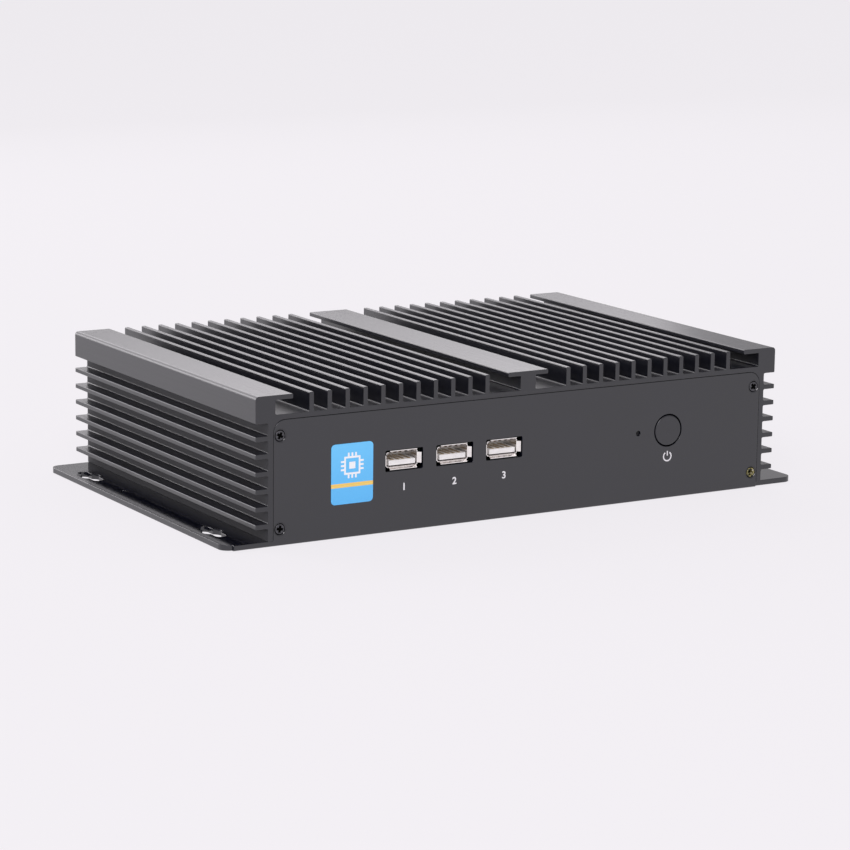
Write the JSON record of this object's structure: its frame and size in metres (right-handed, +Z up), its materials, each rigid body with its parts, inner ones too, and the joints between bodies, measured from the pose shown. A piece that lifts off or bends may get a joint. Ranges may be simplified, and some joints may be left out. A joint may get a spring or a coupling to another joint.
{
  "type": "fanless industrial computer",
  "caption": "Low black computer in a finned aluminium extrusion on a folded steel tray with mounting flanges, sockets front and rear, and a sprung power button.",
  "frame": {"origin": "middle of the footprint, on the underside of the base sheet", "axes": "+X to the right seen from the front, along the longest side; +Y from the front to the rear, so the front with the button faces -Y; +Z up, the shortest side"},
  "size_m": [0.252, 0.1602, 0.055],
  "materials": {
    "anodised_black": "satin black anodised, drawn lines along the extrusion",
    "painted_black": "fine matt black coating",
    "screw_black": "black oxide",
    "screw_zinc": "yellow passivated zinc",
    "nickel": "bright nickel plate",
    "raw_steel": "zinc-plated steel",
    "raw_aluminium": "milled",
    "white_plastic": "white moulding",
    "black_plastic": "black moulding",
    "button_black": "satin black anodised",
    "blue_plastic": "blue moulding",
    "video_blue": "blue moulding",
    "gold_contact": "gold flash",
    "clear_plastic": "clear moulding",
    "lamp": "lamp body",
    "circuit_board": "green solder mask",
    "chip_black": "epoxy",
    "pad_grey": "soft thermal pad",
    "label_print": "printed film",
    "spring_steel": "drawn wire"
  },
  "bodies": {
    "chassis": {"aerial_plugs": "black_plastic", "audio_jacks": "black_plastic", "base_tray": "painted_black", "block_screws": "raw_steel", "board_screws": "raw_steel", "board_standoffs": "raw_steel", "bulk_capacitors": "raw_aluminium", "button_guide": "black_plastic", "coin_cell": "raw_steel", "coin_cell_holder": "black_plastic", "com_body": "black_plastic", "com_pins": "gold_contact", "com_shell": "nickel", "controller_chips": "chip_black", "cpu_package": "chip_black", "dc_jack_body": "black_plastic", "dc_jack_pin": "nickel", "front_board": "circuit_board", "front_board_studs": "raw_steel", "front_screw_zinc": "screw_zinc", "hdmi_shell": "nickel", "hdmi_tongue": "black_plastic", "heat_block": "raw_aluminium", "heatsink_housing": "anodised_black", "jack_posts": "raw_steel", "label_sticker": "label_print", "lan_bodies": "black_plastic", "lan_shields": "nickel", "led_light_guide": "clear_plastic", "link_header": "black_plastic", "link_header_pins": "gold_contact", "link_socket": "black_plastic", "lip_screws": "screw_black", "main_board": "circuit_board", "memory_module": "circuit_board", "memory_socket": "black_plastic", "panel_screws_black": "screw_black", "power_inductors": "chip_black", "rear_panel": "painted_black", "return_spring": "spring_steel", "ssd_module": "circuit_board", "ssd_screw": "raw_steel", "ssd_socket": "black_plastic", "status_led": "lamp", "switch_body": "black_plastic", "thermal_pads": "pad_grey", "usb_contacts": "gold_contact", "usb_shell_left": "nickel", "usb_shell_middle": "nickel", "usb_shell_right": "nickel", "usb_stack_linings": "blue_plastic", "usb_stack_shells": "nickel", "usb_tongue_left": "white_plastic", "usb_tongue_middle": "white_plastic", "usb_tongue_right": "white_plastic", "vga_body": "video_blue", "vga_shell": "nickel"},
    "power_button": {"power_button_cap": "button_black", "switch_actuator": "white_plastic"}
  },
  "joints": [
    {"name": "power_button_press", "type": "slide", "parent": "chassis", "child": "power_button", "axis": [0, 1, 0], "range_m": [0, 0.0012], "stiffness_N_per_m": 900, "springref_m": -0.0004, "deforming": ["return_spring"]}
  ]
}
